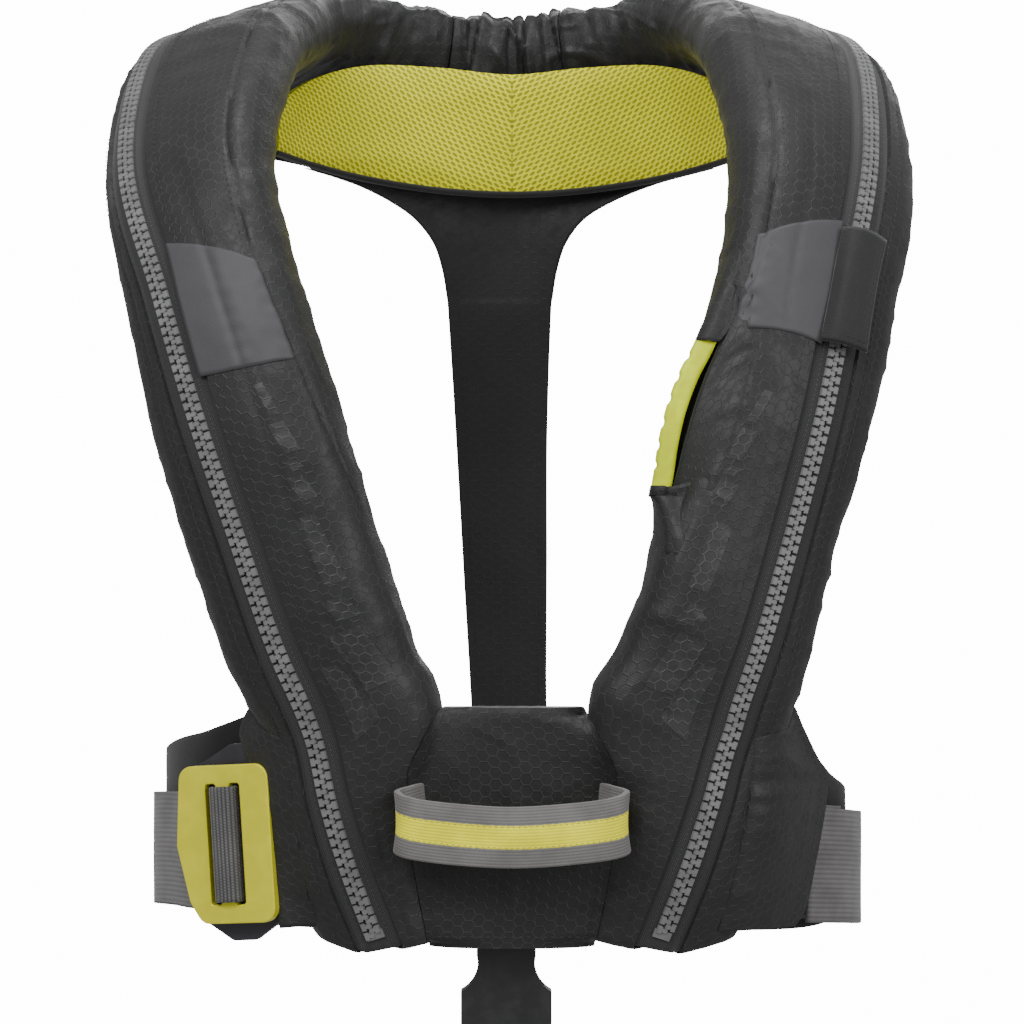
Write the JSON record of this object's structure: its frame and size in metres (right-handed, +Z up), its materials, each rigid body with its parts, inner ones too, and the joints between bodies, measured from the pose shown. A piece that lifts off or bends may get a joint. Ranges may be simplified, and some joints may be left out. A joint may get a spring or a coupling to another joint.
{
  "type": "inflatable life jacket",
  "caption": "Packed horseshoe inflatable life jacket with zipped lobes, yellow neck pad, waist belt, hook-in buckle, tether loop and crotch strap buckle.",
  "frame": {"origin": "the nape: the middle of the neck pad's lower edge", "axes": "+X to the wearer's left, +Y to the wearer's back, +Z up"},
  "size_m": [0.3198, 0.2698, 0.4206],
  "materials": {
    "cover_fabric": "black hexagon ripstop, matt with a faint sheen",
    "plain_fabric": "plain black woven fabric",
    "zip_tape": "woven dark grey tape",
    "zip_teeth": "moulded grey teeth",
    "reflective": "grey retroreflective film",
    "bladder_film": "coated yellow film",
    "yellow_mesh": "yellow three-dimensional spacer mesh",
    "grey_webbing": "ribbed grey webbing",
    "yellow_alloy": "satin yellow anodised alloy",
    "black_alloy": "satin black coated alloy",
    "yellow_rubber": "satin yellow moulded grip",
    "black_plastic": "satin black acetal",
    "grey_plastic": "satin",
    "red_plastic": "satin",
    "orange_plastic": "satin",
    "zinc_steel": "zinc plated"
  },
  "bodies": {
    "vest": {"right_cover": "cover_fabric", "left_cover": "cover_fabric", "neck_cover": "cover_fabric", "right_zip_tape": "zip_tape", "left_zip_tape": "zip_tape", "neck_zip_tape": "zip_tape", "right_zip_chain": "zip_teeth", "left_zip_chain": "zip_teeth", "neck_zip_chain": "zip_teeth", "right_zip_stop": "zip_teeth", "left_zip_stop": "zip_teeth", "right_reflector": "reflective", "left_reflector": "reflective", "bladder": "bladder_film", "inflator_body": "grey_plastic", "co2_cylinder": "zinc_steel", "water_sensor_cap": "black_plastic", "oral_tube": "bladder_film", "oral_valve": "black_plastic", "whistle": "orange_plastic", "handle_pocket_upper": "cover_fabric", "handle_pocket_lower": "cover_fabric", "chest_panel": "cover_fabric", "left_side_panel": "cover_fabric", "right_side_panel": "cover_fabric", "left_wing_pad": "plain_fabric", "right_wing_pad": "plain_fabric", "waist_belt": "grey_webbing", "chest_belt": "grey_webbing", "neck_pad": "yellow_mesh", "collar_yoke": "plain_fabric", "back_strap": "plain_fabric", "strap_belt_sleeve": "plain_fabric", "frame_plate": "black_alloy", "frame_webbing_loop": "grey_webbing", "crotch_tab_webbing": "grey_webbing"},
    "tether_loop": {"tether_loop": "grey_webbing"},
    "pull_plate": {"pull_plate": "yellow_alloy", "plate_webbing_loop": "grey_webbing"},
    "crotch_buckle": {"crotch_buckle_socket": "black_plastic"},
    "pull_handle": {"pull_handle": "yellow_rubber", "pull_cord": "black_plastic"},
    "firing_lever": {"firing_lever": "red_plastic"},
    "zip_slider": {"zip_slider": "black_alloy"},
    "zip_pull_tab": {"zip_pull_tab": "black_alloy"},
    "slider_flap": {"slider_flap": "cover_fabric"},
    "oral_valve_cap": {"oral_valve_cap": "orange_plastic"}
  },
  "joints": [
    {"name": "tether_loop_swing", "type": "hinge", "parent": "vest", "child": "tether_loop", "pos_m": [0, -0.183, -0.2485], "axis": [-1, 0, 0], "range_deg": [-25, 15]},
    {"name": "pull_plate_tilt", "type": "hinge", "parent": "vest", "child": "pull_plate", "pos_m": [-0.12894, -0.16094, -0.2648], "axis": [0.0632, -0.0295, -0.9976], "range_deg": [0, 70]},
    {"name": "crotch_buckle_swing", "type": "hinge", "parent": "vest", "child": "crotch_buckle", "pos_m": [-0.0022, -0.1653, -0.2981], "axis": [-1, 0, 0], "range_deg": [-45, 24]},
    {"name": "handle_pull", "type": "slide", "parent": "vest", "child": "pull_handle", "axis": [-0.9, 0, -0.436], "range_m": [0, 0.016]},
    {"name": "lever_turn", "type": "hinge", "parent": "vest", "child": "firing_lever", "pos_m": [0.09704, -0.189, -0.09612], "axis": [0, -1, 0], "range_deg": [0, 70]},
    {"name": "slider_slide", "type": "slide", "parent": "vest", "child": "zip_slider", "axis": [-0.1929, -0.2459, -0.9499], "range_m": [0, 0.04]},
    {"name": "pull_tab_lift", "type": "hinge", "parent": "zip_slider", "child": "zip_pull_tab", "pos_m": [0.13006, -0.18481, -0.0496], "axis": [-0.8835, -0.3776, 0.2772], "range_deg": [0, 28]},
    {"name": "slider_flap_open", "type": "hinge", "parent": "vest", "child": "slider_flap", "pos_m": [0.12198, -0.18528, -0.04845], "axis": [-0.2005, -0.35, -0.915], "range_deg": [0, 80]},
    {"name": "valve_cap_pull", "type": "slide", "parent": "vest", "child": "oral_valve_cap", "axis": [-0.3, 0, 0.9539], "range_m": [0, 0.012]}
  ],
  "couplings": [
    {"joint": "lever_turn", "follows": "handle_pull", "rad_per_m": 76.35},
    {"joint": "pull_tab_lift", "follows": "slider_slide", "rad_per_m": 12.22}
  ]
}
